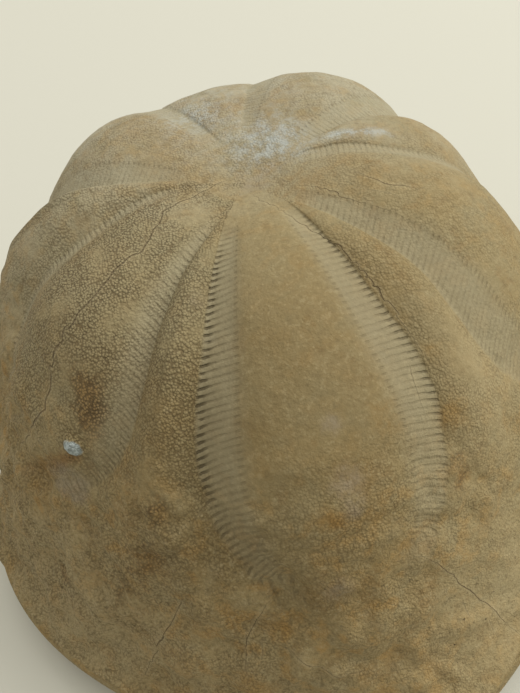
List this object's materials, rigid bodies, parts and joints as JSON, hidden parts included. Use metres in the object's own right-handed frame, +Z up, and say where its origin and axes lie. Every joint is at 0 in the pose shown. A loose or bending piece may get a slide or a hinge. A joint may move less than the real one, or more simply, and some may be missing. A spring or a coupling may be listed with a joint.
{
  "type": "sand dollar",
  "caption": "High-domed fossil sand dollar with swollen petals around its top, a thin rounded rim, and a flat underside with a funnel-shaped mouth hollow.",
  "frame": {"origin": "middle of the object's outline, on the flat surface that its underside rests on", "axes": "+Z up through the dome, +Y towards the rear edge where the vent is, so the front petal points along -Y, +X to the right when it is seen from the front"},
  "size_m": [0.1226, 0.1336, 0.0622],
  "materials": {
    "fossil_test": "dull, fine-grained calcite with a slight sheen on worn ribs"
  },
  "bodies": {
    "root": {"test": "fossil_test"}
  },
  "joints": []
}
